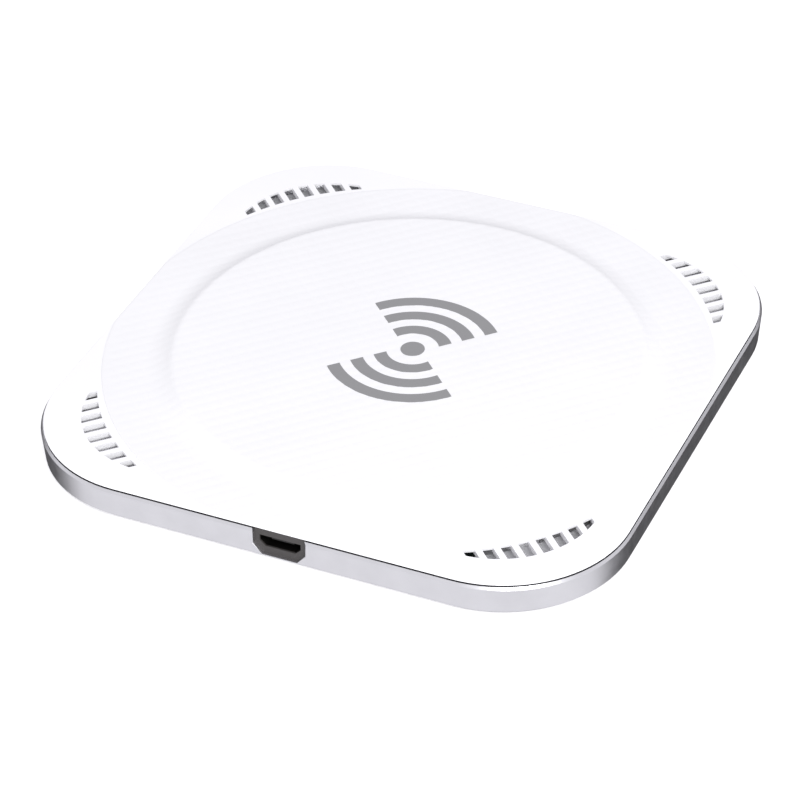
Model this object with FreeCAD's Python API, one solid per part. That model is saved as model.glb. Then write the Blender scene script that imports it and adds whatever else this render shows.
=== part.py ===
"""Wireless charging pad: a white top cover with a raised, textured charging disc and vented corners,
a slim aluminium side frame with the power inlet, a bottom cover on four rubber feet, and the coil and
driver board inside.

Millimetres.  +Z is up, the feet stand on Z = 0 and the Z axis is the centre of the pad.
The inlet is on the -Y side.
"""
import FreeCAD, Part
import math
import os

V = FreeCAD.Vector

# ---- driving dimensions: outline ----
HALF_WIDTH = 50.0            # side frame, centre to outer face
CORNER_R = 21.25             # plan radius of the frame's corners
FRAME_WALL = 1.4
FRAME_TAPER = 0.35           # the side face leans in by this much towards the bottom
FRAME_BEVEL = 0.3            # bright bevel along the top edge
FRAME_BEVEL_H = 0.45
FRAME_FOOT_R = 0.35          # rounding of the frame's lower edge
REBATE_INSET = 0.34          # inside this the frame's top is cut down for the gasket
REBATE_Z = 5.2

# ---- driving dimensions: heights ----
FRAME_Z0 = 0.8               # the feet hold the frame this far off the table
FRAME_Z1 = 6.01
COVER_Z0 = 6.25              # the gap between frame and cover is COVER_Z0 - FRAME_Z1
COVER_RIM_Z = 6.46           # smooth corner zones of the top cover
SKIN_RIM_Z = 6.6             # outer flat of the textured skin
SKIN_TOP_Z = 8.0             # raised disc that the phone lies on
FLOOR_Z0 = 0.9               # bottom cover plate
FLOOR_Z1 = 1.9

# ---- top cover and skin ----
COVER_INSET = 0.42           # the cover's edge stands back from the frame
COVER_EDGE_R = 0.15
SKIN_T = 0.3
SKIN_R = 50.3                # the skin is a disc, cut off along the four sides
SKIN_INSET = 0.6             # from the frame's outer face, along the sides
COVER_T = 1.0
GASKET_INSET = 0.75
CREST_R = 38.4               # where the raised disc starts to fall
CREST_ARC = 1.3              # radius of the rounded crest, in section
FALL_ANGLE = 33.0            # steepest slope beyond the crest, degrees
RIB_T = 0.8
RIB_GAP = 0.2
RIB_Z0 = 4.5

# ---- corner vents ----
VENT_SLOTS = 8
VENT_PITCH = 2.8
VENT_WIDTH = 1.75
VENT_INNER_D = 51.6          # along the diagonal, centre of the pad to the inner arc
VENT_INNER_R = 39.0
VENT_OUTER_D = 55.3          # and to the outer arc
VENT_OUTER_R = 16.5
VENT_END_T = 0.4             # the cover is this thin at the slots' ends
VENT_UNDERCUT = 0.9          # below that the slots are longer by this much at each end
VENT_SHELF_Z = 3.6           # top of the bottom cover's shelf under the slots
VENT_SHELF_INSET = 3.0       # from the frame's outer face to the shelf's outer edge
VENT_SHELF_R0 = 49.6         # and its inner edge, about the pad's centre
VENT_SHELF_HALF = 12.6       # half the shelf's width across the diagonal

# ---- charging mark: a dot between two fans of three arcs ----
MARK_T = 0.15
MARK_DOT_R = 2.0
MARK_FIRST_R = 4.35
MARK_STROKE = 2.18
MARK_PITCH = 4.05
MARK_ARCS = 3
MARK_APEX_SHIFT = 1.45       # the fans' cut lines meet this far beyond the dot's centre
MARK_PLACE = (0.6, 0.35)     # the dot's centre; the print sits a little off the pad's centre

# ---- ledge inside the frame, that the bottom cover is drawn up against ----
LEDGE_W = 1.3
LEDGE_H = 0.8
LEDGE_GAP = 7.0              # half the gap left for the inlet

# ---- inlet opening in the frame ----
INLET_W = 8.9
INLET_Z0 = 1.3
INLET_CHAMFER_X = 1.45
INLET_CHAMFER_Z = 1.8
INLET_BEVEL = 0.3
BEZEL_Y0 = -49.2             # black bezel around the receptacle's mouth
BEZEL_Y1 = -48.6

# ---- feet, screws and posts ----
CORNER_POST = 33.0           # X and Y of the four screws and feet
FOOT_R = 4.5
FOOT_TOP_Z = 1.2
FOOT_RECESS_R = 4.7
POST_R = 3.3
POST_Z1 = 3.3
SCREW_HEAD_R = 1.9
SCREW_HEAD_H = 1.1
SCREW_HEAD_SEAT_Z = 2.35
SCREW_R = 0.8
SCREW_TIP_Z = 5.1
BOSS_R = 2.6
FOOT_ROUND = 0.3
FOOT_GROOVE = (2.6, 2.0, 0.15)   # outer radius, inner radius, depth
SCREW_CLEARANCE = 0.3
SMALL_HEAD_R = 1.6           # screws of the carrier and the board
SMALL_HEAD_H = 0.9
SMALL_SCREW_R = 0.7
SMALL_TIP_Z = 1.4
SMALL_PILOT_Z = 1.3          # the posts' pilot holes end here
SMALL_HOLE_R = 0.85          # in the carrier and the board

# ---- inside of the bottom cover ----
CARRIER_POST_R = 2.3
BOARD_POST_R = 2.0
FLOOR_RIB_H = 0.9
FLOOR_RIB_T = 0.8
FLOOR_RING_R = 12.0
FLOOR_SPOKES = 8
FLOOR_SPOKE_R1 = 24.0

# ---- rating label ----
LABEL_HALF_X = 19.0
LABEL_HALF_Y = 9.0
LABEL_T = 0.15
LABEL_R = 1.5
LABEL_GAP = 0.2

# ---- coil stack ----
COIL_Z0 = 5.4
COIL_T = 1.1
COIL_INNER_R = 10.25
COIL_TURNS = 10
COIL_PITCH = 1.17
WIRE_W = 1.02
FERRITE_R = 24.5
FERRITE_Z0 = 4.3
FERRITE_T = 0.95
TAPE_T = 0.15
CARRIER_Z0 = 3.15
CARRIER_Z1 = 4.15
CARRIER_HOLE_R = 9.0
CARRIER_RIM_R0 = 24.8
CARRIER_RIM_R1 = 25.8
CARRIER_RIM_Z = 5.2
CARRIER_EAR_AT = 19.8        # X and Y of the carrier's four ears
CARRIER_EAR_R = 3.0
LEAD_X = 2.6
LEAD_R = 0.4
OUTER_LEAD_X = 6.6
LEAD_SLOT_END = 7.2          # the slots under the coil start this far from the centre
PAD_Y = -31.5                # row of solder pads on the board

# ---- circuit board and socket ----
BOARD_HALF_X = 28.5
BOARD_Y0 = -47.0
BOARD_Y1 = -27.6
BOARD_Z0 = 2.9
BOARD_Z1 = 3.9
BOARD_POST = ((25.4, -44.0), (25.4, -30.6))
SOCKET_Y0 = -48.9
SOCKET_Y1 = -43.1
SOCKET_Z0 = 2.45
SOCKET_H = 2.5
SOCKET_W = 7.5
SHEET = 0.25
SHELL_WING = (1.4, -46.2, -44.4)     # reach to the side, and its two ends in Y
TONGUE_HALF = 1.9
TONGUE_T = 0.6
TONGUE_DROP = 0.55           # below the shell's inner top
TONGUE_BLOCK = 1.2
CONTACTS = 5
CONTACT_PITCH = 0.65
CONTACT_W = 0.28
CONTACT_T = 0.12

# ---- board parts: length, width, height, then the centres ----
CONTROLLER = (6.0, 6.0, 0.9)
CONTROLLER_AT = (8.5, -37.5)
PIN_MARK_AT = (6.2, -39.8)
PIN_MARK_R = 0.35
PIN_MARK_DEPTH = 0.1
MOSFET = (3.3, 3.3, 0.9)
MOSFETS_AT = ((-11.5, -35.2), (-7.0, -35.2), (-11.5, -39.7), (-7.0, -39.7))
RESONANT = (2.5, 3.2, 1.9)
RESONANT_ROW = (10.0, -30.2, 3.1, 0.0, 4)    # first x, first y, step in x, step in y, count
INDUCTOR = (5.2, 5.2, 2.0)
INDUCTOR_AT = (-16.0, -31.3)
CERAMIC = (2.0, 1.25, 1.1)
CERAMIC_ROWS = ((-16.2, -36.0, 0.0, -2.1, 3), (15.5, -33.4, 0.0, -2.1, 4),
                (-21.6, -30.6, 0.0, -2.1, 3))
RESISTOR = (1.6, 0.8, 0.45)
RESISTOR_ROWS = ((19.0, -33.4, 0.0, -1.5, 6), (3.0, -34.6, 0.0, -1.5, 4),
                 (7.6, -43.4, 2.3, 0.0, 4))
LED = (1.6, 0.8, 0.6)
LED_AT = (21.5, -44.2)       # and its mirror image
SOLDER_R = 1.0
THERMAL_PAD = (-15.5, -3.5, -42.0, -33.0)    # X from and to, Y from and to


# ---------------------------------------------------------------- helpers
def save(name, shape):
    """Write one node; touching faces left by the booleans are merged first."""
    shape = shape.removeSplitter()
    assert shape.isValid(), name
    shape.exportStep("parts/" + name + ".step")


def group(solids):
    """Separate solids that share one node."""
    return Part.makeCompound(solids)


def box(x0, x1, y0, y1, z0, z1):
    return Part.makeBox(x1 - x0, y1 - y0, z1 - z0, V(x0, y0, z0))


def disc(x, y, radius, z0, z1):
    return Part.makeCylinder(radius, z1 - z0, V(x, y, z0))


def tube(radius_out, radius_in, z0, z1):
    return disc(0, 0, radius_out, z0, z1).cut(disc(0, 0, radius_in, z0, z1))


def squircle_wire(half, radius, z):
    """Rounded square: four straight sides and four quarter arcs."""
    edges = []
    flat = half - radius
    for turn in range(4):
        spin = FreeCAD.Rotation(V(0, 0, 1), 90.0 * turn)
        bow = radius * math.sqrt(0.5)
        side = [V(half, -flat, z), V(half, flat, z)]
        corner = [V(half, flat, z), V(flat + bow, flat + bow, z), V(flat, half, z)]
        side = [spin.multVec(p) for p in side]
        corner = [spin.multVec(p) for p in corner]
        edges.append(Part.LineSegment(side[0], side[1]).toShape())
        edges.append(Part.Arc(corner[0], corner[1], corner[2]).toShape())
    return Part.Wire(edges)


def squircle(inset, z0, z1):
    """Upright rounded-square prism, set in from the frame's outer face by inset."""
    wire = squircle_wire(HALF_WIDTH - inset, CORNER_R - inset, z0)
    return Part.Face(wire).extrude(V(0, 0, z1 - z0))


def squircle_cone(inset0, inset1, z0, z1):
    """The same with a different inset at each end."""
    low = squircle_wire(HALF_WIDTH - inset0, CORNER_R - inset0, z0)
    high = squircle_wire(HALF_WIDTH - inset1, CORNER_R - inset1, z1)
    return Part.makeLoft([low, high], True)


def round_edges_at(shape, z, radius):
    """Round every edge that lies flat at height z."""
    edges = []
    for edge in shape.Edges:
        bounds = edge.BoundBox
        if abs(bounds.ZMin - z) < 1e-4 and abs(bounds.ZMax - z) < 1e-4:
            edges.append(edge)
    return shape.makeFillet(radius, edges)


def polygon_prism(points, z0, z1):
    """Prism over a closed outline of (x, y) corners."""
    corners = [V(x, y, z0) for x, y in points]
    corners.append(corners[0])
    return Part.Face(Part.makePolygon(corners)).extrude(V(0, 0, z1 - z0))


def mirrored_xy(x, y):
    """The four places with the same distance from both axes."""
    return [(sx * x, sy * y) for sy in (-1, 1) for sx in (-1, 1)]


def spun(shape, degrees):
    copy = shape.copy()
    copy.rotate(V(0, 0, 0), V(0, 0, 1), degrees)
    return copy


def wire_run(points, radius, bend):
    """Round wire along straight runs joined by tangent arcs of one bend radius."""
    edges = []
    start = points[0]
    for i in range(1, len(points) - 1):
        back = (points[i - 1] - points[i]).normalize()
        ahead = (points[i + 1] - points[i]).normalize()
        half_turn = 0.5 * (math.pi - back.getAngle(ahead))
        reach = bend * math.tan(half_turn)
        arc_in = points[i] + back * reach
        arc_out = points[i] + ahead * reach
        inward = (back + ahead).normalize()
        middle = points[i] + inward * (bend / math.cos(half_turn) - bend)
        edges.append(Part.LineSegment(start, arc_in).toShape())
        edges.append(Part.Arc(arc_in, middle, arc_out).toShape())
        start = arc_out
    edges.append(Part.LineSegment(start, points[-1]).toShape())
    path = Part.Wire(edges)
    section = Part.Wire(Part.makeCircle(radius, points[0], points[1] - points[0]))
    return path.makePipeShell([section], True, True)


# ---------------------------------------------------------------- raised disc
def raised_disc(sink, shrink, z_floor):
    """Solid under the charging disc: flat top, rounded crest and a fall that flattens out.

    sink lowers the whole surface and shrink moves the fall inward, so that the inner faces
    keep the walls' thickness.
    """
    fall = math.radians(FALL_ANGLE)
    drop = SKIN_TOP_Z - SKIN_RIM_Z
    foot_arc = drop / (1.0 - math.cos(fall)) - CREST_ARC
    top = SKIN_TOP_Z - sink
    rim = SKIN_RIM_Z - sink
    r0 = CREST_R - shrink
    half = 0.5 * fall
    crest_mid = V(r0 + CREST_ARC * math.sin(half), 0, top - CREST_ARC * (1 - math.cos(half)))
    crest_end = V(r0 + CREST_ARC * math.sin(fall), 0, top - CREST_ARC * (1 - math.cos(fall)))
    foot_end = V(crest_end.x + foot_arc * math.sin(fall), 0, rim)
    foot_mid = V(foot_end.x - foot_arc * math.sin(half), 0, rim + foot_arc * (1 - math.cos(half)))
    outline = [
        Part.LineSegment(V(0, 0, z_floor), V(0, 0, top)).toShape(),
        Part.LineSegment(V(0, 0, top), V(r0, 0, top)).toShape(),
        Part.Arc(V(r0, 0, top), crest_mid, crest_end).toShape(),
        Part.Arc(crest_end, foot_mid, foot_end).toShape(),
        Part.LineSegment(foot_end, V(foot_end.x, 0, z_floor)).toShape(),
        Part.LineSegment(V(foot_end.x, 0, z_floor), V(0, 0, z_floor)).toShape(),
    ]
    return Part.Face(Part.Wire(outline)).revolve(V(0, 0, 0), V(0, 0, 1), 360)


def skin_blank(sink, z_floor):
    """The skin's outer form from z_floor up: disc, fall and outer flat, cut off along the sides."""
    rim = SKIN_RIM_Z - sink
    plate = disc(0, 0, SKIN_R, z_floor, rim).common(squircle(SKIN_INSET, z_floor, rim))
    return plate.fuse(raised_disc(sink, 0.0, z_floor))


# ---------------------------------------------------------------- charging mark
def fan_arc(index):
    """One arc of the upper fan, cut to the fan's right-angled wedge."""
    inner = MARK_FIRST_R + index * MARK_PITCH
    z0 = SKIN_TOP_Z - MARK_T
    ring = tube(inner + MARK_STROKE, inner, z0, SKIN_TOP_Z)
    reach = 2.0 * (inner + MARK_STROKE)
    apex = -MARK_APEX_SHIFT
    wedge = polygon_prism([(0, apex), (reach, apex + reach), (-reach, apex + reach)], z0, SKIN_TOP_Z)
    return ring.common(wedge)


def make_mark():
    pieces = [disc(0, 0, MARK_DOT_R, SKIN_TOP_Z - MARK_T, SKIN_TOP_Z)]
    for index in range(MARK_ARCS):
        arc = fan_arc(index)
        pieces.append(arc)
        pieces.append(spun(arc, 180))
    mark = group(pieces)
    mark.translate(V(MARK_PLACE[0], MARK_PLACE[1], 0))
    return mark


# ---------------------------------------------------------------- covers
def vent_field(grow, z0, z1):
    """The lens that one corner's slots are clipped to, on the +X axis before it is turned."""
    inner = disc(VENT_INNER_D - VENT_INNER_R, 0, VENT_INNER_R - grow, z0, z1)
    outer = disc(VENT_OUTER_D - VENT_OUTER_R, 0, VENT_OUTER_R + grow, z0, z1)
    return outer.cut(inner)


def vent_cutters():
    """The slots, longer underneath so that the cover is thin at their ends."""
    z0 = COVER_RIM_Z - 2.0
    z1 = COVER_RIM_Z + 1.0
    lens = vent_field(0.0, z0, z1)
    lens_below = vent_field(VENT_UNDERCUT, z0, COVER_RIM_Z - VENT_END_T)
    cutters = []
    for slot in range(VENT_SLOTS):
        y = (slot - 0.5 * (VENT_SLOTS - 1)) * VENT_PITCH
        bar = box(VENT_INNER_D - 8, VENT_OUTER_D + 4, y - VENT_WIDTH / 2, y + VENT_WIDTH / 2, z0, z1)
        slot_shape = bar.common(lens).fuse(bar.common(lens_below))
        for corner in range(4):
            cutters.append(spun(slot_shape, 45 + 90 * corner))
    return cutters


def make_top_cover():
    ceiling = COVER_RIM_Z - COVER_T
    plate = squircle(COVER_INSET, COVER_Z0, COVER_RIM_Z)
    plate = round_edges_at(plate, COVER_RIM_Z, COVER_EDGE_R)
    plug = squircle(FRAME_WALL + RIB_GAP, ceiling, COVER_Z0)
    body = plate.fuse(plug)
    body = body.cut(disc(0, 0, SKIN_R, SKIN_RIM_Z - SKIN_T, SKIN_TOP_Z).common(
        squircle(SKIN_INSET, SKIN_RIM_Z - SKIN_T, SKIN_TOP_Z)))
    body = body.fuse(raised_disc(SKIN_T, 0.0, ceiling))
    body = body.cut(raised_disc(SKIN_T + COVER_T, COVER_T, ceiling - 1.0))
    rib = squircle(FRAME_WALL + RIB_GAP, RIB_Z0, ceiling)
    rib = rib.cut(squircle(FRAME_WALL + RIB_GAP + RIB_T, RIB_Z0, ceiling))
    rib = rib.cut(box(-INLET_W, INLET_W, -HALF_WIDTH, 0, RIB_Z0, ceiling))
    body = body.fuse(rib)
    for x, y in mirrored_xy(CORNER_POST, CORNER_POST):
        body = body.fuse(disc(x, y, BOSS_R, POST_Z1, ceiling + 0.2))
    for cutter in vent_cutters():
        body = body.cut(cutter)
    for x, y in mirrored_xy(CORNER_POST, CORNER_POST):
        body = body.cut(disc(x, y, SCREW_R, POST_Z1, SCREW_TIP_Z + 0.3))
    return body


def make_top_skin(mark):
    skin = skin_blank(0.0, SKIN_RIM_Z - SKIN_T - 0.05)
    below = skin_blank(SKIN_T, SKIN_RIM_Z - SKIN_T - 1.0)
    skin = skin.cut(below)
    skin = skin.common(disc(0, 0, SKIN_R + 1, SKIN_RIM_Z - SKIN_T, SKIN_TOP_Z + 1))
    return skin.cut(mark)


def vent_shelves():
    """Raised shelves of the bottom cover, close under the four groups of slots."""
    ring = squircle(VENT_SHELF_INSET, FLOOR_Z1, VENT_SHELF_Z)
    ring = ring.cut(disc(0, 0, VENT_SHELF_R0, FLOOR_Z1, VENT_SHELF_Z))
    room = 0.4
    ring = ring.cut(box(-BOARD_HALF_X - room, BOARD_HALF_X + room, BOARD_Y0 - room, BOARD_Y1,
                        FLOOR_Z1, VENT_SHELF_Z))
    shelves = []
    for corner in range(4):
        sector = box(VENT_SHELF_R0 - 8, VENT_SHELF_R0 + 8, -VENT_SHELF_HALF, VENT_SHELF_HALF,
                     FLOOR_Z1, VENT_SHELF_Z)
        shelves.append(ring.common(spun(sector, 45 + 90 * corner)))
    return shelves


def make_bottom_cover():
    inset = FRAME_WALL + 0.1
    plate = round_edges_at(squircle(inset, FLOOR_Z0, FLOOR_Z1), FLOOR_Z0, 0.2)
    for x, y in mirrored_xy(CORNER_POST, CORNER_POST):
        plate = plate.fuse(disc(x, y, POST_R, FLOOR_Z1, POST_Z1))
    for x, y in mirrored_xy(CARRIER_EAR_AT, CARRIER_EAR_AT):
        plate = plate.fuse(disc(x, y, CARRIER_POST_R, FLOOR_Z1, CARRIER_Z0))
    for x, y in BOARD_POST:
        for side in (-1, 1):
            plate = plate.fuse(disc(side * x, y, BOARD_POST_R, FLOOR_Z1, BOARD_Z0))
    for shelf in vent_shelves():
        plate = plate.fuse(shelf)
    # stiffening ribs under the coil: a ring and its spokes
    rib_top = FLOOR_Z1 + FLOOR_RIB_H
    ring_out = FLOOR_RING_R + FLOOR_RIB_T
    plate = plate.fuse(tube(ring_out, FLOOR_RING_R, FLOOR_Z1, rib_top))
    for spoke in range(FLOOR_SPOKES):
        rib = box(ring_out - 0.2, FLOOR_SPOKE_R1, -FLOOR_RIB_T / 2, FLOOR_RIB_T / 2, FLOOR_Z1, rib_top)
        plate = plate.fuse(spun(rib, (spoke + 0.5) * 360 / FLOOR_SPOKES))
    for x, y in mirrored_xy(CORNER_POST, CORNER_POST):
        plate = plate.cut(disc(x, y, FOOT_RECESS_R, FLOOR_Z0, FOOT_TOP_Z))
        plate = plate.cut(disc(x, y, SCREW_HEAD_R + SCREW_CLEARANCE, FOOT_TOP_Z, SCREW_HEAD_SEAT_Z))
        plate = plate.cut(disc(x, y, SCREW_R + SCREW_CLEARANCE, SCREW_HEAD_SEAT_Z, POST_Z1))
    for x, y in mirrored_xy(CARRIER_EAR_AT, CARRIER_EAR_AT):
        plate = plate.cut(disc(x, y, SMALL_SCREW_R, SMALL_PILOT_Z, CARRIER_Z0))
    for x, y in BOARD_POST:
        for side in (-1, 1):
            plate = plate.cut(disc(side * x, y, SMALL_SCREW_R, SMALL_PILOT_Z, BOARD_Z0))
    return plate.cut(make_label(LABEL_GAP))


def upright_edges(shape):
    """Edges that run straight up."""
    flat = [edge.BoundBox.XLength + edge.BoundBox.YLength < 1e-4 for edge in shape.Edges]
    return [edge for edge, upright in zip(shape.Edges, flat) if upright]


def make_label(margin):
    """Blank rating label that lies flush in the underside; a margin gives its recess."""
    half_x = LABEL_HALF_X + margin
    half_y = LABEL_HALF_Y + margin
    label = box(-half_x, half_x, -half_y, half_y, FLOOR_Z0, FLOOR_Z0 + LABEL_T)
    return label.makeFillet(LABEL_R, upright_edges(label))


# ---------------------------------------------------------------- frame
def inlet_outline(grow, y):
    """Closed outline of the inlet opening at depth y: wide above, its lower corners cut off."""
    half = 0.5 * INLET_W + grow
    z0 = INLET_Z0 - grow
    z_side = INLET_Z0 + INLET_CHAMFER_Z - 0.4 * grow
    foot = 0.5 * INLET_W - INLET_CHAMFER_X + 0.4 * grow
    top = FRAME_Z1 + 1.0
    corners = [(-half, top), (-half, z_side), (-foot, z0), (foot, z0), (half, z_side), (half, top)]
    points = [V(x, y, z) for x, z in corners]
    points.append(points[0])
    return Part.makePolygon(points)


def make_side_frame():
    side_z0 = FRAME_Z0 + FRAME_FOOT_R
    bevel_z0 = FRAME_Z1 - FRAME_BEVEL_H
    outside = squircle_cone(FRAME_TAPER + FRAME_FOOT_R, FRAME_TAPER, FRAME_Z0, side_z0)
    outside = outside.fuse(squircle_cone(FRAME_TAPER, 0.0, side_z0, bevel_z0))
    outside = outside.fuse(squircle_cone(0.0, FRAME_BEVEL, bevel_z0, FRAME_Z1))
    ring = outside.cut(squircle(FRAME_WALL, FRAME_Z0 - 1, FRAME_Z1 + 1))
    ring = ring.cut(squircle(REBATE_INSET, REBATE_Z, FRAME_Z1 + 1))
    ledge_top = FLOOR_Z1 + LEDGE_H
    ledge = squircle(FRAME_WALL - 0.05, FLOOR_Z1, ledge_top)
    ledge = ledge.cut(squircle(FRAME_WALL + LEDGE_W, FLOOR_Z1, ledge_top))
    ledge = ledge.cut(box(-LEDGE_GAP, LEDGE_GAP, -HALF_WIDTH, -0.8 * HALF_WIDTH, FLOOR_Z1, ledge_top))
    ring = ring.fuse(ledge)
    straight = Part.Face(inlet_outline(0.0, -HALF_WIDTH - 1)).extrude(V(0, 6, 0))
    ring = ring.cut(straight)
    flare = Part.makeLoft([inlet_outline(INLET_BEVEL + 0.3, -HALF_WIDTH - 0.3),
                           inlet_outline(0.0, -HALF_WIDTH + INLET_BEVEL)], True, True)
    return ring.cut(flare)


def make_inlet_bezel():
    """Black plastic bezel that fills the opening around the receptacle's mouth."""
    plate = Part.Face(inlet_outline(0.0, BEZEL_Y0)).extrude(V(0, BEZEL_Y1 - BEZEL_Y0, 0))
    plate = plate.common(box(-INLET_W, INLET_W, BEZEL_Y0, BEZEL_Y1, 0, COVER_Z0))
    return plate.cut(socket_prism(0.0, SOCKET_Y0, SOCKET_Y1)).cut(
        socket_prism(SHEET, BEZEL_Y0 - 1, SOCKET_Y1))


def make_gasket():
    """Foam strip in the frame's rebate, pressed up against the cover."""
    strip = squircle(GASKET_INSET, REBATE_Z, COVER_Z0)
    strip = strip.cut(squircle(FRAME_WALL - 0.1, REBATE_Z, COVER_Z0))
    opening = 0.5 * INLET_W + 0.5
    return strip.cut(box(-opening, opening, -HALF_WIDTH, -0.8 * HALF_WIDTH, REBATE_Z, COVER_Z0))


# ---------------------------------------------------------------- feet and screws
def make_foot(x, y):
    foot = disc(x, y, FOOT_R, 0, FOOT_TOP_Z)
    foot = round_edges_at(foot, 0.0, FOOT_ROUND)
    groove_out, groove_in, depth = FOOT_GROOVE
    groove = disc(x, y, groove_out, 0, depth).cut(disc(x, y, groove_in, 0, depth))
    return foot.cut(groove)


def make_screw(x, y, seat_z, tip_z, head_r, head_h, shank_r, up):
    """Pan-head screw with a cross recess; up is +1 if its head is on top, -1 if underneath."""
    head = disc(x, y, head_r, seat_z, seat_z + head_h)
    head = round_edges_at(head, seat_z + head_h, 0.3 * head_h)
    length = seat_z - tip_z if up > 0 else tip_z - seat_z
    shank = disc(x, y, shank_r, seat_z - length, seat_z)
    tip = Part.makeCone(0.5 * shank_r, shank_r, 0.5, V(x, y, seat_z - length))
    screw = head.fuse(shank.cut(disc(x, y, shank_r, seat_z - length, seat_z - length + 0.5)).fuse(tip))
    for slot in (0, 90):
        bar = box(-0.6 * head_r, 0.6 * head_r, -0.2, 0.2, 0, head_h)
        bar = spun(bar, slot)
        bar.translate(V(x, y, seat_z + 0.5 * head_h))
        screw = screw.cut(bar)
    if up < 0:
        screw.rotate(V(x, y, seat_z), V(1, 0, 0), 180)
    return screw


def make_cover_screws():
    screws = []
    for x, y in mirrored_xy(CORNER_POST, CORNER_POST):
        screws.append(make_screw(x, y, SCREW_HEAD_SEAT_Z, SCREW_TIP_Z, SCREW_HEAD_R, SCREW_HEAD_H,
                                 SCREW_R, -1))
    return group(screws)


def make_small_screw(x, y, seat_z):
    return make_screw(x, y, seat_z, SMALL_TIP_Z, SMALL_HEAD_R, SMALL_HEAD_H, SMALL_SCREW_R, 1)


def make_carrier_screws():
    places = mirrored_xy(CARRIER_EAR_AT, CARRIER_EAR_AT)
    return group([make_small_screw(x, y, CARRIER_Z1) for x, y in places])


def make_board_screws():
    screws = []
    for x, y in BOARD_POST:
        for side in (-1, 1):
            screws.append(make_small_screw(side * x, y, BOARD_Z1))
    return group(screws)


# ---------------------------------------------------------------- coil stack
def make_winding():
    """Flat spiral of litz wire, built of half turns about two centres a half pitch apart.

    Both ends lie on the -Y side, in the plane X = 0.
    """
    half_turns = 2 * COIL_TURNS
    step = 0.5 * COIL_PITCH
    inner = []
    outer = []
    z = COIL_Z0
    for half in range(half_turns):
        side = 1 if half % 2 == 0 else -1
        centre = 0.0 if half % 2 == 0 else -step
        for edges, radius in ((inner, COIL_INNER_R + half * step),
                              (outer, COIL_INNER_R + WIRE_W + half * step)):
            start = V(0, centre - side * radius, z)
            middle = V(side * radius, centre, z)
            end = V(0, centre + side * radius, z)
            edges.append(Part.Arc(start, middle, end).toShape())
    first_cap = Part.LineSegment(inner[0].Vertexes[0].Point, outer[0].Vertexes[0].Point).toShape()
    last_cap = Part.LineSegment(inner[-1].Vertexes[-1].Point, outer[-1].Vertexes[-1].Point).toShape()
    outline = Part.Wire(Part.__sortEdges__(inner + outer + [first_cap, last_cap]))
    return Part.Face(outline).extrude(V(0, 0, COIL_T))


def lead_slot(side, z0, z1):
    """Straight slot that one lead runs in, from the coil's eye out under the winding."""
    x = side * LEAD_X
    half = LEAD_R + 0.2
    return box(x - half, x + half, -FERRITE_R - 3, -LEAD_SLOT_END, z0, z1)


def make_ferrite():
    plate = disc(0, 0, FERRITE_R, FERRITE_Z0, FERRITE_Z0 + FERRITE_T)
    for side in (-1, 1):
        plate = plate.cut(lead_slot(side, FERRITE_Z0, FERRITE_Z0 + FERRITE_T))
    return plate


def make_coil_tape():
    """Adhesive ring between winding and ferrite."""
    outer = COIL_INNER_R + COIL_TURNS * COIL_PITCH
    tape = tube(outer - 0.3, COIL_INNER_R + 0.9, COIL_Z0 - TAPE_T, COIL_Z0)
    gap = LEAD_X + LEAD_R + 0.2
    return tape.cut(box(-gap, gap, -FERRITE_R, 0, COIL_Z0 - TAPE_T, COIL_Z0))


def make_ferrite_tape():
    return tube(FERRITE_R - 0.5, CARRIER_HOLE_R + 1.0, CARRIER_Z1, CARRIER_Z1 + TAPE_T)


def make_carrier():
    """Moulded tray that holds the ferrite and stands on four posts."""
    tray = tube(CARRIER_RIM_R1, CARRIER_HOLE_R, CARRIER_Z0, CARRIER_Z1)
    tray = tray.fuse(tube(CARRIER_RIM_R1, CARRIER_RIM_R0, CARRIER_Z1, CARRIER_RIM_Z))
    for x, y in mirrored_xy(CARRIER_EAR_AT, CARRIER_EAR_AT):
        tray = tray.fuse(disc(x, y, CARRIER_EAR_R, CARRIER_Z0, CARRIER_Z1))
    for x, y in mirrored_xy(CARRIER_EAR_AT, CARRIER_EAR_AT):
        tray = tray.cut(disc(x, y, SMALL_HEAD_R + 0.3, CARRIER_Z1, CARRIER_RIM_Z))
        tray = tray.cut(disc(x, y, SMALL_HOLE_R, CARRIER_Z0, CARRIER_Z1))
    for side in (-1, 1):
        tray = tray.cut(lead_slot(side, CARRIER_Z1, CARRIER_RIM_Z))
    return tray


def make_inner_lead():
    """From the coil's inner end down into the ferrite's slot and out to the board."""
    z_wire = COIL_Z0 + 0.5 * COIL_T
    z_slot = FERRITE_Z0 + 0.5 * FERRITE_T
    z_pad = BOARD_Z1 + LEAD_R + 0.05
    y_start = -(COIL_INNER_R + 0.5 * WIRE_W)
    points = [V(0, y_start, z_wire), V(-LEAD_X, -9.95, z_wire), V(-LEAD_X, -9.95, z_slot),
              V(-LEAD_X, -27.2, z_slot), V(-LEAD_X, -29.2, z_pad), V(-LEAD_X, PAD_Y, z_pad)]
    return wire_run(points, LEAD_R, 0.5)


def make_outer_lead():
    """From the coil's outer end over the carrier's rim and down to the board."""
    z_wire = COIL_Z0 + 0.5 * COIL_T
    z_pad = BOARD_Z1 + LEAD_R + 0.05
    y_start = -(COIL_INNER_R + 0.5 * WIRE_W + COIL_TURNS * COIL_PITCH)
    points = [V(0, y_start, z_wire), V(5.6, y_start - 0.6, z_wire), V(OUTER_LEAD_X, -26.8, z_wire),
              V(OUTER_LEAD_X, -29.6, z_pad), V(OUTER_LEAD_X, PAD_Y, z_pad)]
    return wire_run(points, LEAD_R, 0.7)


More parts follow.
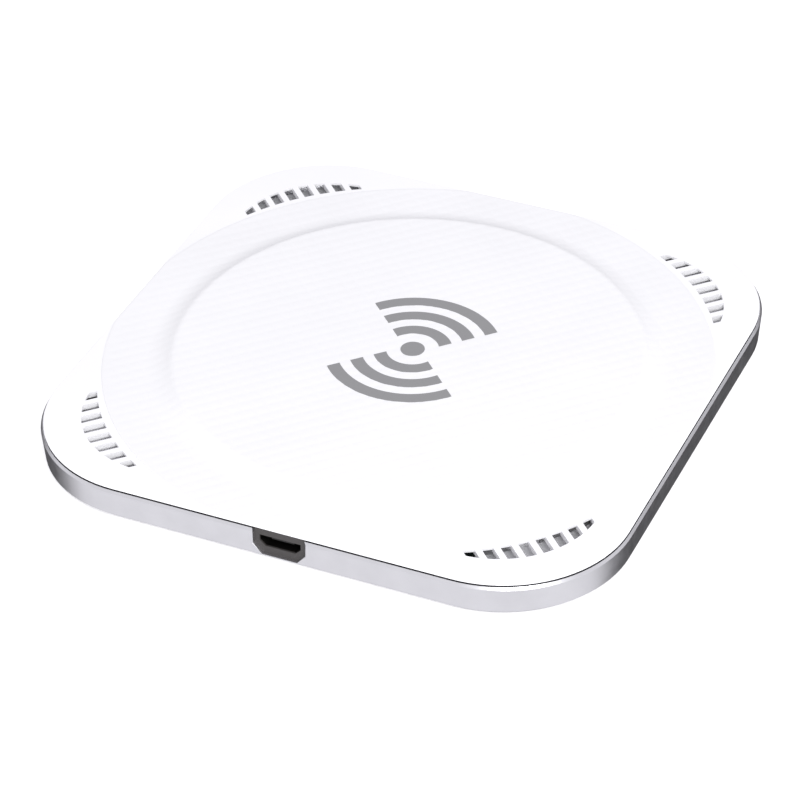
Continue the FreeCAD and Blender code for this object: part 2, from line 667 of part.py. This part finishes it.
def make_thermistor():
    """Temperature sensor in the coil's eye, with its insulated lead in the other slot."""
    z_slot = FERRITE_Z0 + 0.5 * FERRITE_T
    z_pad = BOARD_Z1 + 0.35
    bead = Part.makeCylinder(0.7, 2.4, V(LEAD_X, -7.4, FERRITE_Z0 + FERRITE_T + 0.7), V(0, 1, 0))
    points = [V(LEAD_X, -7.4, FERRITE_Z0 + FERRITE_T + 0.6), V(LEAD_X, -9.6, z_slot),
              V(LEAD_X, -27.2, z_slot), V(LEAD_X, -29.2, z_pad), V(LEAD_X, PAD_Y, z_pad)]
    return bead.fuse(wire_run(points, 0.3, 0.8))


# ---------------------------------------------------------------- board and its parts
def make_board():
    board = box(-BOARD_HALF_X, BOARD_HALF_X, BOARD_Y0, BOARD_Y1, BOARD_Z0, BOARD_Z1)
    board = board.makeFillet(2.0, upright_edges(board))
    notch = 0.5 * SOCKET_W + 0.15
    board = board.cut(box(-notch, notch, BOARD_Y0, SOCKET_Y1 + 0.15, BOARD_Z0, BOARD_Z1))
    for x, y in BOARD_POST:
        for side in (-1, 1):
            board = board.cut(disc(side * x, y, SMALL_HOLE_R, BOARD_Z0, BOARD_Z1))
    return board


def socket_outline(inset, y):
    """Section of the socket's shell: flat top, upright sides, lower corners cut off."""
    half = 0.5 * SOCKET_W - inset
    foot = half - 1.05 + 0.4 * inset
    top = SOCKET_Z0 + SOCKET_H - inset
    shoulder = SOCKET_Z0 + 1.15 + 0.1 * inset
    bottom = SOCKET_Z0 + inset
    corners = [(-half, top), (-half, shoulder), (-foot, bottom), (foot, bottom), (half, shoulder),
               (half, top)]
    points = [V(x, y, z) for x, z in corners]
    points.append(points[0])
    return Part.makePolygon(points)


def socket_prism(inset, y0, y1):
    return Part.Face(socket_outline(inset, y0)).extrude(V(0, y1 - y0, 0))


def make_socket_shell():
    """Folded sheet shell with two wings that are soldered to the board."""
    shell = socket_prism(0.0, SOCKET_Y0, SOCKET_Y1).cut(socket_prism(SHEET, SOCKET_Y0, SOCKET_Y1))
    reach, wing_y0, wing_y1 = SHELL_WING
    wing_x0 = 0.5 * SOCKET_W - 0.1
    wing_x1 = 0.5 * SOCKET_W + reach
    for x0, x1 in ((-wing_x1, -wing_x0), (wing_x0, wing_x1)):
        shell = shell.fuse(box(x0, x1, wing_y0, wing_y1, BOARD_Z1, BOARD_Z1 + SHEET))
    return shell


def make_socket_tongue():
    """Black insulator: a block that closes the shell's back, and the contact tongue."""
    block_y0 = SOCKET_Y1 - TONGUE_BLOCK
    block = socket_prism(SHEET, block_y0, SOCKET_Y1)
    z_top = SOCKET_Z0 + SOCKET_H - SHEET - TONGUE_DROP
    tongue = box(-TONGUE_HALF, TONGUE_HALF, SOCKET_Y0 + 0.7, block_y0, z_top - TONGUE_T, z_top)
    return block.fuse(tongue)


def make_socket_contacts():
    """Flat contacts side by side under the tongue."""
    z_top = SOCKET_Z0 + SOCKET_H - SHEET - TONGUE_DROP - TONGUE_T
    contacts = []
    for index in range(CONTACTS):
        x = (index - 0.5 * (CONTACTS - 1)) * CONTACT_PITCH
        contacts.append(box(x - CONTACT_W / 2, x + CONTACT_W / 2, SOCKET_Y0 + 0.9,
                            SOCKET_Y1 - TONGUE_BLOCK, z_top - CONTACT_T, z_top))
    return group(contacts)


def chip(x, y, size):
    """Rectangular component body with a softened top, standing on the board."""
    length, width, height = size
    body = box(x - length / 2, x + length / 2, y - width / 2, y + width / 2, BOARD_Z1, BOARD_Z1 + height)
    return round_edges_at(body, BOARD_Z1 + height, 0.08)


def chip_row(size, row):
    x, y, step_x, step_y, count = row
    return [chip(x + step_x * i, y + step_y * i, size) for i in range(count)]


def make_controller():
    top = BOARD_Z1 + CONTROLLER[2]
    pin_mark = disc(PIN_MARK_AT[0], PIN_MARK_AT[1], PIN_MARK_R, top - PIN_MARK_DEPTH, top)
    return chip(CONTROLLER_AT[0], CONTROLLER_AT[1], CONTROLLER).cut(pin_mark)


def make_mosfets():
    return group([chip(x, y, MOSFET) for x, y in MOSFETS_AT])


def make_resonant_capacitors():
    return group(chip_row(RESONANT, RESONANT_ROW))


def make_inductor():
    length, width, height = INDUCTOR
    x, y = INDUCTOR_AT
    top = BOARD_Z1 + height
    body = box(x - length / 2, x + length / 2, y - width / 2, y + width / 2, BOARD_Z1, top)
    return round_edges_at(body.makeFillet(0.8, upright_edges(body)), top, 0.2)


def make_ceramic_capacitors():
    return group([body for row in CERAMIC_ROWS for body in chip_row(CERAMIC, row)])


def make_chip_resistors():
    return group([body for row in RESISTOR_ROWS for body in chip_row(RESISTOR, row)])


def make_leds():
    return group([chip(side * LED_AT[0], LED_AT[1], LED) for side in (-1, 1)])


def make_solder_joints(wires):
    """Solder over each lead's end on the board's pads."""
    joints = []
    for x in (-LEAD_X, LEAD_X, OUTER_LEAD_X):
        ball = Part.makeSphere(SOLDER_R, V(x, PAD_Y + 0.1, BOARD_Z1 - 0.1))
        reach = 2 * SOLDER_R
        dome = ball.common(box(x - reach, x + reach, PAD_Y - reach, PAD_Y + reach,
                               BOARD_Z1, BOARD_Z1 + reach))
        for wire in wires:
            dome = dome.cut(wire)
        joints += dome.Solids
    return group(joints)


def make_thermal_pad():
    """Soft pad that carries the switches' heat to the bottom cover."""
    x0, x1, y0, y1 = THERMAL_PAD
    return box(x0, x1, y0, y1, FLOOR_Z1, BOARD_Z0)


# ---------------------------------------------------------------- build
os.makedirs("parts", exist_ok=True)

mark = make_mark()
save("signal_mark", mark)
save("top_skin", make_top_skin(mark))
save("top_cover", make_top_cover())
save("side_frame", make_side_frame())
save("cover_gasket", make_gasket())
save("inlet_bezel", make_inlet_bezel())
save("bottom_cover", make_bottom_cover())
save("rating_label", make_label(0.0))
for (foot_x, foot_y), place in zip(mirrored_xy(CORNER_POST, CORNER_POST),
                                   ("front_left", "front_right", "rear_left", "rear_right")):
    save("foot_" + place, make_foot(foot_x, foot_y))
save("cover_screws", make_cover_screws())

save("coil_winding", make_winding())
save("coil_tape", make_coil_tape())
save("ferrite_shield", make_ferrite())
save("ferrite_tape", make_ferrite_tape())
save("coil_carrier", make_carrier())
save("carrier_screws", make_carrier_screws())
inner_lead = make_inner_lead()
outer_lead = make_outer_lead()
thermistor = make_thermistor()
save("coil_inner_lead", inner_lead)
save("coil_outer_lead", outer_lead)
save("thermistor", thermistor)

save("circuit_board", make_board())
save("board_screws", make_board_screws())
save("socket_shell", make_socket_shell())
save("socket_tongue", make_socket_tongue())
save("socket_contacts", make_socket_contacts())
save("controller_chip", make_controller())
save("power_mosfets", make_mosfets())
save("resonant_capacitors", make_resonant_capacitors())
save("power_inductor", make_inductor())
save("ceramic_capacitors", make_ceramic_capacitors())
save("chip_resistors", make_chip_resistors())
save("status_leds", make_leds())
save("solder_joints", make_solder_joints([inner_lead, outer_lead, thermistor]))
save("thermal_pad", make_thermal_pad())
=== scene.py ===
"""The looks of a wireless charging pad: a white pad with a raised, textured charging disc, four
corner vents, a grey charging mark and an aluminium side frame.  Metres, in the frame of the CAD model.
"""
import math

import bmesh
import bpy
import numpy as np
from mathutils import Matrix, Vector


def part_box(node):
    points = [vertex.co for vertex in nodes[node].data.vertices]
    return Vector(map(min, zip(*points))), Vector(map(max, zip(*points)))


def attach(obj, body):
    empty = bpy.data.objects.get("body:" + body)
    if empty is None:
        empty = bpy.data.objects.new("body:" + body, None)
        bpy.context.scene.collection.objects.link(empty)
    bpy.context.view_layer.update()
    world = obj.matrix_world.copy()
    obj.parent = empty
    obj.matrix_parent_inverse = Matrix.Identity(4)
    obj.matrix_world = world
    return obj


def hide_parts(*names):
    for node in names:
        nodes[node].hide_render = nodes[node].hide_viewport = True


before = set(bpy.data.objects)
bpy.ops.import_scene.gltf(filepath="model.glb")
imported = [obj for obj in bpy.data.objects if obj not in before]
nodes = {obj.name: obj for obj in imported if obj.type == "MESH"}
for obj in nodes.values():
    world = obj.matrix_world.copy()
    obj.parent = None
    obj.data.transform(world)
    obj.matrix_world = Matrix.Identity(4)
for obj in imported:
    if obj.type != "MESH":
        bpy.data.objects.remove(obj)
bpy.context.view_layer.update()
MM = 0.001


# ---------------------------------------------------------------- camera
CAMERA_AZIMUTH = math.radians(24.506)    # turned from straight behind the inlet side towards +X
CAMERA_ELEVATION = math.radians(36.348)
CAMERA_ROLL = math.radians(-1.288)
CAMERA_DISTANCE = 0.5601
CAMERA_LENS = 152.7
CAMERA_SHIFT = (-0.01153, -0.01935)
SENSOR_WIDTH = 36.0


def add_camera():
    """Looks down on the pad over the corner between the inlet side and +X."""
    target = Vector((0, 0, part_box("side_frame")[0].z))
    back = Vector((math.sin(CAMERA_AZIMUTH) * math.cos(CAMERA_ELEVATION),
                   -math.cos(CAMERA_AZIMUTH) * math.cos(CAMERA_ELEVATION),
                   math.sin(CAMERA_ELEVATION)))
    right = Vector((0, 0, 1)).cross(back).normalized()
    up = back.cross(right)
    roll_right = math.cos(CAMERA_ROLL) * right + math.sin(CAMERA_ROLL) * up
    roll_up = math.cos(CAMERA_ROLL) * up - math.sin(CAMERA_ROLL) * right
    turn = Matrix((roll_right, roll_up, back)).transposed().to_4x4()
    data = bpy.data.cameras.new("camera")
    data.lens = CAMERA_LENS
    data.sensor_width = SENSOR_WIDTH
    data.shift_x, data.shift_y = CAMERA_SHIFT
    data.clip_start = 0.01
    data.clip_end = 20.0
    camera = bpy.data.objects.new("camera", data)
    camera.matrix_world = Matrix.Translation(target + back * CAMERA_DISTANCE) @ turn
    bpy.context.scene.collection.objects.link(camera)
    bpy.context.scene.camera = camera


# ---------------------------------------------------------------- light and floor
SKY_LEVEL = 0.79
SKY_COLOUR = (0.965, 0.955, 1.0)
HORIZON = (-0.12, 0.02)                  # the surround gives way to the sky between these heights
SURROUND_FRONT = (0.34, -0.94, 0.0)      # the pale side of the surround
SURROUND_PALE = 0.88
SURROUND_DARK = 0.065
SURROUND_PALE_AT = 0.1
SURROUND_DARK_AT = -0.45
KEY_PLACE = (0.34, -0.46, 0.42)
KEY_SIZE = 0.35
KEY_POWER = 3.1
FLOOR_HALF = 4.0
FLOOR_WHITE = 0.92
FLOOR_ROUGHNESS = 0.9
FLOOR_GLOW = 0.35


def add_key_light():
    """A soft square light that faces the middle of the pad."""
    data = bpy.data.lights.new("key", "AREA")
    data.energy = KEY_POWER
    data.size = KEY_SIZE
    light = bpy.data.objects.new("key", data)
    light.location = KEY_PLACE
    light.rotation_euler = (-Vector(KEY_PLACE)).to_track_quat("-Z", "Y").to_euler()
    bpy.context.scene.collection.objects.link(light)


def add_floor():
    corners = [(x * FLOOR_HALF, y * FLOOR_HALF, 0) for x, y in ((-1, -1), (1, -1), (1, 1), (-1, 1))]
    mesh = bpy.data.meshes.new("floor")
    mesh.from_pydata(corners, [], [(0, 1, 2, 3)])
    floor = bpy.data.objects.new("floor", mesh)
    bpy.context.scene.collection.objects.link(floor)
    material = bpy.data.materials.new("floor_white")
    material.use_nodes = True
    shader = material.node_tree.nodes["Principled BSDF"]
    shader.inputs["Base Color"].default_value = (FLOOR_WHITE, FLOOR_WHITE, FLOOR_WHITE, 1)
    shader.inputs["Roughness"].default_value = FLOOR_ROUGHNESS
    shader.inputs["Emission Color"].default_value = (1, 1, 1, 1)
    shader.inputs["Emission Strength"].default_value = FLOOR_GLOW
    mesh.materials.append(material)
    floor.visible_glossy = False


def add_sky():
    """An even pale sky, and below the horizon a surround that is pale in front of the pad and dark
    behind it. The floor hides the surround from everything but mirror reflections."""
    world = bpy.data.worlds.new("studio")
    world.use_nodes = True
    tree = world.node_tree
    place = tree.nodes.new("ShaderNodeTexCoord")
    parts = tree.nodes.new("ShaderNodeSeparateXYZ")
    tree.links.new(place.outputs["Generated"], parts.inputs["Vector"])
    facing = tree.nodes.new("ShaderNodeVectorMath")
    facing.operation = "DOT_PRODUCT"
    facing.inputs[1].default_value = SURROUND_FRONT
    tree.links.new(place.outputs["Generated"], facing.inputs[0])
    front = tree.nodes.new("ShaderNodeMapRange")
    front.interpolation_type = "SMOOTHSTEP"
    front.inputs["From Min"].default_value = SURROUND_DARK_AT
    front.inputs["From Max"].default_value = SURROUND_PALE_AT
    front.inputs["To Min"].default_value = SURROUND_DARK
    front.inputs["To Max"].default_value = SURROUND_PALE
    tree.links.new(facing.outputs["Value"], front.inputs["Value"])
    above = tree.nodes.new("ShaderNodeMapRange")
    above.inputs["From Min"].default_value, above.inputs["From Max"].default_value = HORIZON
    tree.links.new(parts.outputs["Z"], above.inputs["Value"])
    level = tree.nodes.new("ShaderNodeMix")
    level.inputs["B"].default_value = SKY_LEVEL
    tree.links.new(above.outputs["Result"], level.inputs["Factor"])
    tree.links.new(front.outputs["Result"], level.inputs["A"])
    background = tree.nodes["Background"]
    background.inputs["Color"].default_value = (*SKY_COLOUR, 1)
    tree.links.new(level.outputs["Result"], background.inputs["Strength"])
    bpy.context.scene.world = world
    bpy.context.scene.view_settings.view_transform = "Standard"


# ---------------------------------------------------------------- materials
NOISE_RANGE = (0.3, 0.7)       # nearly all of the noise's values lie in here
CLOUDS = 60.0                  # cells to the metre
METAL_CLOUDS = 220.0
SHEEN = 180.0
WEAR_PATCHES = 400.0
WEAR_WIDTH = 0.12 * MM
WEAR_TURN = (0.90, 0.995)      # cosine of the turn that counts as a full edge, and as none


class Surface:
    """A node material built up around one Principled shader."""

    def __init__(self, name, colour, roughness, metallic=0.0):
        self.material = bpy.data.materials.new(name)
        self.material.use_nodes = True
        self.tree = self.material.node_tree
        self.shader = self.tree.nodes["Principled BSDF"]
        self.shader.inputs["Metallic"].default_value = metallic
        self.colour = colour
        self.roughness = roughness
        self.place = self.add("ShaderNodeTexCoord").outputs["Object"]

    def add(self, kind, **values):
        node = self.tree.nodes.new(kind)
        for key, value in values.items():
            setattr(node, key, value)
        return node

    def link(self, source, target):
        self.tree.links.new(source, target)

    def noise(self, scale, detail=3.0):
        """Noise over the object's own coordinates; scale is in cells to the metre."""
        node = self.add("ShaderNodeTexNoise")
        node.inputs["Scale"].default_value = scale
        node.inputs["Detail"].default_value = detail
        self.link(self.place, node.inputs["Vector"])
        return node.outputs["Fac"]

    def ramp(self, source, low, high, at=NOISE_RANGE):
        """Value or colour that runs from low to high as source goes from at[0] to at[1]."""
        node = self.add("ShaderNodeValToRGB")
        for element, place, value in zip(node.color_ramp.elements, at, (low, high)):
            element.position = place
            element.color = (*value, 1) if isinstance(value, tuple) else (value, value, value, 1)
        self.link(source, node.inputs["Fac"])
        return node.outputs["Color"]

    def vary_colour(self, source, spread):
        low = tuple(c * (1 - spread) for c in self.colour)
        high = tuple(min(1.0, c * (1 + spread)) for c in self.colour)
        self.link(self.ramp(source, low, high), self.shader.inputs["Base Color"])

    def vary_roughness(self, source, spread):
        low = self.roughness - spread
        high = self.roughness + spread
        self.link(self.ramp(source, low, high), self.shader.inputs["Roughness"])

    def rub_edges(self, amount):
        """Sharp edges worn a little paler and smoother, unevenly along their length."""
        rounded = self.add("ShaderNodeBevel", samples=4)
        rounded.inputs["Radius"].default_value = WEAR_WIDTH
        flat = self.add("ShaderNodeNewGeometry")
        turn = self.add("ShaderNodeVectorMath", operation="DOT_PRODUCT")
        self.link(rounded.outputs["Normal"], turn.inputs[0])
        self.link(flat.outputs["Normal"], turn.inputs[1])
        edge = self.ramp(turn.outputs["Value"], 1.0, 0.0, WEAR_TURN)
        patchy = self.ramp(self.noise(WEAR_PATCHES), 0.3, 1.0)
        worn = self.add("ShaderNodeMath", operation="MULTIPLY")
        self.link(edge, worn.inputs[0])
        self.link(patchy, worn.inputs[1])
        for socket, shift in (("Base Color", amount), ("Roughness", -2 * amount)):
            target = self.shader.inputs[socket]
            source = target.links[0].from_socket
            scale = self.add("ShaderNodeMath", operation="MULTIPLY_ADD")
            scale.inputs[1].default_value = shift
            scale.inputs[2].default_value = 1.0
            self.link(worn.outputs["Value"], scale.inputs[0])
            blend = self.add("ShaderNodeVectorMath", operation="SCALE")
            self.link(source, blend.inputs[0])
            self.link(scale.outputs["Value"], blend.inputs["Scale"])
            self.link(blend.outputs["Vector"], target)

    def bump(self, source, distance):
        """Relief of this depth in metres."""
        node = self.add("ShaderNodeBump")
        node.inputs["Distance"].default_value = distance
        node.inputs["Strength"].default_value = 1.0
        self.link(source, node.inputs["Height"])
        self.link(node.outputs["Normal"], self.shader.inputs["Normal"])


def moulded(name, colour, roughness, grain, depth):
    """Moulded plastic or rubber: a faint cloudiness, a fine eroded grain and slightly rubbed edges.
    grain is the number of noise cells in a metre and depth is in millimetres."""
    surface = Surface(name, colour, roughness)
    surface.vary_colour(surface.noise(CLOUDS), 0.015)
    surface.vary_roughness(surface.noise(SHEEN, 4.0), 0.06)
    surface.bump(surface.noise(grain, 2.0), depth * MM)
    surface.rub_edges(0.04)
    return surface.material


def metal(name, colour, roughness, grain, depth):
    """Metal with an even fine grain; grain and depth as in moulded."""
    surface = Surface(name, colour, roughness, metallic=1.0)
    surface.vary_colour(surface.noise(METAL_CLOUDS), 0.03)
    surface.vary_roughness(surface.noise(0.25 * grain), 0.03)
    surface.bump(surface.noise(grain, 2.0), depth * MM)
    surface.rub_edges(0.06)
    return surface.material


def dress(names, material):
    for name in names:
        mesh = nodes[name].data
        if not mesh.materials:
            mesh.materials.append(material)
        for index in range(len(mesh.materials)):
            mesh.materials[index] = material


COVER_WHITE = (0.95, 0.95, 0.965)
SKIN_WHITE = (0.90, 0.90, 0.912)
FEET = ("foot_front_left", "foot_front_right", "foot_rear_left", "foot_rear_right")

# name, colour, roughness, grain, depth of the grain, the nodes it covers
MOULDED = (
    ("cover_plastic", COVER_WHITE, 0.38, 2600.0, 0.008, ("top_cover",)),
    ("mark_print", (0.27, 0.27, 0.275), 0.5, 2600.0, 0.004, ("signal_mark",)),
    ("base_plastic", (0.80, 0.80, 0.82), 0.5, 1500.0, 0.03, ("bottom_cover",)),
    ("foot_rubber", (0.62, 0.62, 0.63), 0.75, 1800.0, 0.02, FEET),
    ("gasket_foam", (0.035, 0.035, 0.04), 0.9, 2400.0, 0.06, ("cover_gasket",)),
    ("label_film", (0.66, 0.66, 0.68), 0.35, 3000.0, 0.003, ("rating_label",)),
    ("tape_amber", (0.62, 0.36, 0.07), 0.3, 900.0, 0.01, ("coil_tape", "ferrite_tape")),
    ("ferrite", (0.05, 0.05, 0.055), 0.6, 1600.0, 0.02, ("ferrite_shield",)),
    ("carrier_plastic", (0.07, 0.07, 0.075), 0.5, 1500.0, 0.02, ("coil_carrier",)),
    ("board_mask", (0.02, 0.03, 0.028), 0.35, 1400.0, 0.01, ("circuit_board",)),
    ("insulator", (0.02, 0.02, 0.02), 0.5, 2000.0, 0.01, ("socket_tongue", "thermistor")),
    # the inlet bezel's near black is painted shade: a dark liner that stands in for the shade inside
    # the inlet's opening
    ("bezel_painted_shade", (0.05, 0.046, 0.045), 0.45, 2000.0, 0.008, ("inlet_bezel",)),
    ("chip_mould", (0.045, 0.045, 0.05), 0.6, 4000.0, 0.01,
     ("controller_chip", "power_mosfets", "power_inductor")),
    ("ceramic_tan", (0.52, 0.37, 0.22), 0.45, 3500.0, 0.01,
     ("resonant_capacitors", "ceramic_capacitors")),
    ("resistor_glaze", (0.03, 0.03, 0.035), 0.25, 3500.0, 0.005, ("chip_resistors",)),
    ("led_lens", (0.82, 0.80, 0.55), 0.2, 2500.0, 0.004, ("status_leds",)),
    ("thermal_silicone", (0.33, 0.40, 0.47), 0.7, 1200.0, 0.04, ("thermal_pad",)),
)

# the same for metals
METALS = (
    ("frame_anodised", (0.83, 0.83, 0.85), 0.31, 2600.0, 0.0004, ("side_frame",)),
    ("screw_steel", (0.52, 0.52, 0.53), 0.35, 3000.0, 0.004,
     ("cover_screws", "carrier_screws", "board_screws")),
    ("coil_copper", (0.72, 0.33, 0.16), 0.4, 2200.0, 0.03,
     ("coil_winding", "coil_inner_lead", "coil_outer_lead")),
    # the socket shell's near black is painted shade, standing in for the shade inside the inlet's
    # opening
    ("socket_painted_shade", (0.035, 0.033, 0.031), 0.5, 2600.0, 0.004, ("socket_shell",)),
    ("contact_gold", (0.80, 0.58, 0.22), 0.3, 3000.0, 0.002, ("socket_contacts",)),
    ("solder_tin", (0.66, 0.66, 0.67), 0.38, 1800.0, 0.02, ("solder_joints",)),
)


def dress_nodes():
    for name, colour, roughness, grain, depth, names in MOULDED:
        dress(names, moulded(name, colour, roughness, grain, depth))
    for name, colour, roughness, grain, depth, names in METALS:
        dress(names, metal(name, colour, roughness, grain, depth))


# ---------------------------------------------------------------- textured skin
RELIEF_PITCH = 3.0 * MM         # from one diamond to the next, along X and along Y
RELIEF_DEPTH = 0.045 * MM        # grooves between the diamonds
RELIEF_STEPS = 6                # mesh steps across one diamond
RELIEF_SINK = 0.01 * MM         # the diamonds' crowns lie this far under the mark's face
RELIEF_EDGE = (0.5 * MM, 1.1 * MM)    # the relief fades out over this distance from the edge
SKIN_EDGE_R = 0.07 * MM
SKIN_THICK = 0.3 * MM
CREST_ARC = 1.3 * MM            # rounding at the top of the disc's fall
FALL_ANGLE = math.radians(33)
STITCH_GAP = 0.15 * MM          # whole cells stay this far inside the edge


def measure_skin():
    """Sizes of the CAD skin: its radius, half width, crest radius and the heights of disc and rim."""
    count = len(nodes["top_skin"].data.vertices)
    points = np.zeros(count * 3)
    nodes["top_skin"].data.vertices.foreach_get("co", points)
    points = points.reshape(-1, 3)
    radius = np.hypot(points[:, 0], points[:, 1])
    top = points[:, 2].max()
    return {"radius": radius.max(), "half": abs(points[:, 0]).max(), "top": top,
            "crest": radius[points[:, 2] > top - 1e-6].max(),
            "rim": points[radius > radius.max() - 1e-5, 2].max(), "low": points[:, 2].min()}


class Skin:
    """The top skin as a fine mesh: flat disc, fall and outer flat, all covered with low diamonds."""

    def __init__(self):
        self.size = measure_skin()
        drop = self.size["top"] - self.size["rim"]
        self.foot_arc = drop / (1 - math.cos(FALL_ANGLE)) - CREST_ARC
        self.fall_mid = self.size["crest"] + CREST_ARC * math.sin(FALL_ANGLE)
        self.fall_end = self.fall_mid + self.foot_arc * math.sin(FALL_ANGLE)
        self.verts = []
        self.faces = []

    def profile(self, radius):
        """Height of the smooth surface at a distance from the centre."""
        if radius <= self.size["crest"]:
            return self.size["top"]
        if radius <= self.fall_mid:
            run = radius - self.size["crest"]
            return self.size["top"] - CREST_ARC + math.sqrt(CREST_ARC ** 2 - run ** 2)
        if radius <= self.fall_end:
            run = self.fall_end - radius
            return self.size["rim"] + self.foot_arc - math.sqrt(self.foot_arc ** 2 - run ** 2)
        return self.size["rim"]

    def reach(self, x, y):
        """Distance from the centre to the outline, in the direction of (x, y)."""
        radius = math.hypot(x, y)
        if radius == 0:
            return self.size["half"]
        return min(self.size["radius"], self.size["half"] * radius / max(abs(x), abs(y)))

    def inside(self, x, y):
        """How far a point lies inside the outline."""
        return min(self.size["radius"] - math.hypot(x, y), self.size["half"] - max(abs(x), abs(y)))

    def height(self, x, y):
        """Smooth surface less the grooves between the diamonds."""
        along = (x + y) / RELIEF_PITCH
        across = (x - y) / RELIEF_PITCH
        crown = math.sqrt(abs(math.cos(math.pi * along) * math.cos(math.pi * across)))
        low, high = RELIEF_EDGE
        fade = min(1.0, max(0.0, (self.inside(x, y) - low) / (high - low)))
        fade = fade * fade * (3 - 2 * fade)
        return self.profile(math.hypot(x, y)) - RELIEF_SINK - fade * RELIEF_DEPTH * (1 - crown)

    def add_vertex(self, x, y, z):
        self.verts.append((x, y, z))
        return len(self.verts) - 1

    def lay_cells(self):
        """Square cells set at 45 degrees, so that the grooves run along the mesh."""
        step = RELIEF_PITCH / (2 * RELIEF_STEPS)
        reach = int(2 * self.size["radius"] / step) + 2
        index = {}
        half = reach // 2 + 1
        for i in range(-half, half + 1):
            for j in range(-half, half + 1):
                x = (i + j) * step
                y = (i - j) * step
                if self.inside(x, y) > STITCH_GAP:
                    index[i, j] = self.add_vertex(x, y, self.height(x, y))
        for i, j in index:
            cell = ((i, j), (i, j + 1), (i + 1, j + 1), (i + 1, j))
            if all(corner in index for corner in cell):
                self.faces.append(tuple(index[corner] for corner in cell))

    def border(self):
        """The cells' outer border as a closed chain of vertices, anticlockwise from above."""
        follow = {}
        for face in self.faces:
            for a, b in zip(face, face[1:] + face[:1]):
                follow.setdefault(a, set()).add(b)
        outer = {}
        for a, targets in follow.items():
            for b in targets:
                if a not in follow.get(b, ()):
                    outer[a] = b
        start = next(iter(outer))
        chain = [start]
        while outer[chain[-1]] != start:
            chain.append(outer[chain[-1]])
        return chain

    def ring(self, chain, radius, height):
        """A ring of vertices in the directions of the chain; radius and height are functions."""
        made = []
        for vertex in chain:
            x, y = self.verts[vertex][:2]
            far = radius(self.reach(x, y))
            scale = far / math.hypot(x, y)
            made.append(self.add_vertex(x * scale, y * scale, height(far)))
        return made

    def stitch(self, inner, outer):
        for k, after in enumerate(list(range(1, len(inner))) + [0]):
            self.faces.append((inner[k], outer[k], outer[after], inner[after]))

    def build(self):
        self.lay_cells()
        chain = self.border()
        loops = [chain]
        rim = self.size["rim"] - RELIEF_SINK
        for turn in (0, 30, 60, 90):
            angle = math.radians(turn)
            inset = SKIN_EDGE_R * (1 - math.sin(angle))
            sunk = SKIN_EDGE_R * (1 - math.cos(angle))
            loops.append(self.ring(chain, lambda far: far - inset, lambda far: rim - sunk))
        loops.append(self.ring(chain, lambda far: far, lambda far: self.size["low"]))
        for radius in (self.fall_end, 0.5 * (self.fall_mid + self.fall_end), self.fall_mid,
                       self.size["crest"], 0.5 * self.size["crest"]):
            loops.append(self.ring(chain, lambda far: radius,
                                   lambda far: self.profile(far) - SKIN_THICK))
        for inner, outer in zip(loops, loops[1:]):
            self.stitch(inner, outer)
        centre = self.add_vertex(0, 0, self.size["top"] - SKIN_THICK)
        last = loops[-1]
        for k in range(len(last)):
            self.faces.append((last[k], centre, last[(k + 1) % len(last)]))
        mesh = bpy.data.meshes.new("textured_skin")
        mesh.from_pydata(self.verts, [], self.faces)
        mesh.validate()
        return mesh


def add_skin():
    mesh = Skin().build()
    tidy = bmesh.new()
    tidy.from_mesh(mesh)
    loose = [vertex for vertex in tidy.verts if not vertex.link_faces]
    bmesh.ops.delete(tidy, geom=loose, context="VERTS")
    bmesh.ops.remove_doubles(tidy, verts=tidy.verts, dist=1e-7)
    bmesh.ops.recalc_face_normals(tidy, faces=tidy.faces)
    for face in tidy.faces:
        face.smooth = True
    tidy.to_mesh(mesh)
    tidy.free()
    skin = bpy.data.objects.new("textured_skin", mesh)
    bpy.context.scene.collection.objects.link(skin)
    mesh.materials.append(moulded("skin_silicone", SKIN_WHITE, 0.45, 2600.0, 0.012))
    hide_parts("top_skin")
    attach(skin, "root")


# ---------------------------------------------------------------- build
add_camera()
add_floor()
add_sky()
add_key_light()
dress_nodes()
add_skin()
